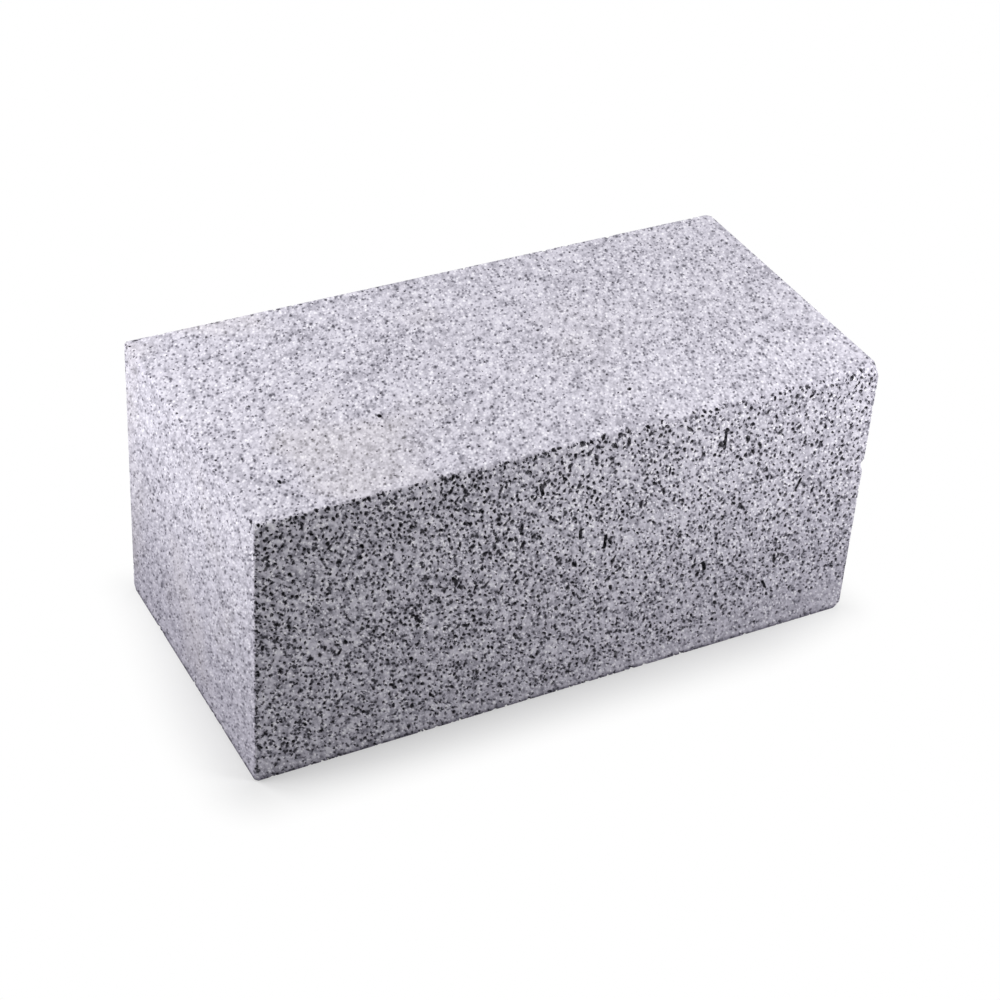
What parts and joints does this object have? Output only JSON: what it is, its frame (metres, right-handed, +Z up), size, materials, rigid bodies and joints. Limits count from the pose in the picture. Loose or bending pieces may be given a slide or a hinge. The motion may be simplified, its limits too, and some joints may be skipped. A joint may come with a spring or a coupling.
{
  "type": "concrete block",
  "caption": "Solid concrete building block of open-textured lightweight aggregate, with flat beds and ends, laid in mortar to build walls and foundations.",
  "frame": {"origin": "the middle of the bottom bed", "axes": "+X along the block's length, +Y from the open-textured front face to the back, +Z up from the bottom bed to the top bed"},
  "size_m": [0.44, 0.215, 0.2],
  "materials": {
    "aggregate_concrete": "matte"
  },
  "bodies": {
    "root": {"concrete_block": "aggregate_concrete"}
  },
  "joints": []
}
